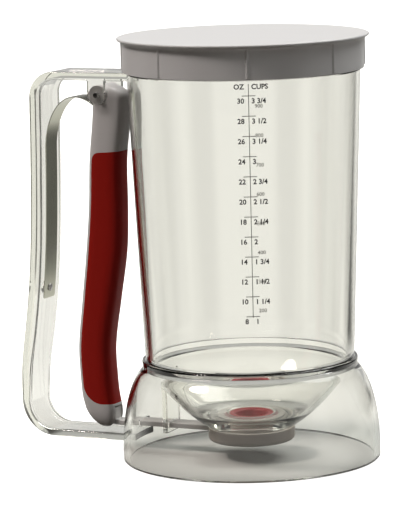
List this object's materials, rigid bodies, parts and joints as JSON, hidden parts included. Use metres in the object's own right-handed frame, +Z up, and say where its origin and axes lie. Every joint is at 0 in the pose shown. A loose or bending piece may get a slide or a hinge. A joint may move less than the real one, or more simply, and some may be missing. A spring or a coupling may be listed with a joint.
{
  "type": "pancake batter dispenser",
  "caption": "Clear batter jug on a bell-shaped base, with a bowl-shaped outlet, a sliding gate worked by a squeeze lever in the handle, and a press-on lid.",
  "frame": {"origin": "on the table, under the middle of the whole length (base to handle)", "axes": "+Z up along the cup's axis, -X towards the handle, the handle's plane is y = 0"},
  "size_m": [0.1664, 0.1134, 0.187],
  "materials": {
    "clear_plastic": "clear, polished, faint grey-green tint",
    "lid_white": "satin moulded",
    "lever_white": "satin moulded",
    "red_soft_grip": "soft-touch, satin",
    "red_silicone": "silicone",
    "spring_steel": "rolled strip",
    "pin_steel": "turned",
    "gate_plastic": "satin moulded",
    "cap_white": "satin moulded"
  },
  "bodies": {
    "jug": {"cup": "clear_plastic", "bowl": "clear_plastic", "outlet_neck": "clear_plastic", "bar_guide": "clear_plastic", "base_skirt": "clear_plastic", "handle": "clear_plastic", "outlet_seal": "red_silicone", "seal_carrier": "cap_white", "pivot_pin": "pin_steel", "leaf_spring": "spring_steel", "spring_rivet": "pin_steel"},
    "lid": {"lid": "lid_white"},
    "lever": {"lever_core": "lever_white", "lever_grip": "red_soft_grip", "link_pin": "pin_steel"},
    "gate": {"gate": "gate_plastic"},
    "valve_cap": {"valve_cap": "cap_white"}
  },
  "joints": [
    {"name": "lever_squeeze", "type": "hinge", "parent": "jug", "child": "lever", "pos_m": [-0.04138, 0, 0.1599], "axis": [0, 1, 0], "range_deg": [0, 6], "stiffness_Nm_per_rad": 4, "springref_deg": -2.86, "deforming": ["leaf_spring"]},
    {"name": "gate_slide", "type": "slide", "parent": "jug", "child": "gate", "axis": [-1, 0, 0], "range_m": [0, 0.0155]},
    {"name": "lid_lift", "type": "slide", "parent": "jug", "child": "lid", "axis": [0, 0, 1], "range_m": [0, 0.04]},
    {"name": "valve_cap_turn", "type": "hinge", "parent": "jug", "child": "valve_cap", "pos_m": [0.02643, 0, 0.0105], "axis": [0, 0, 1], "range_deg": [0, 30]}
  ],
  "couplings": [
    {"joint": "gate_slide", "follows": "lever_squeeze", "m_per_rad": 0.14558}
  ]
}
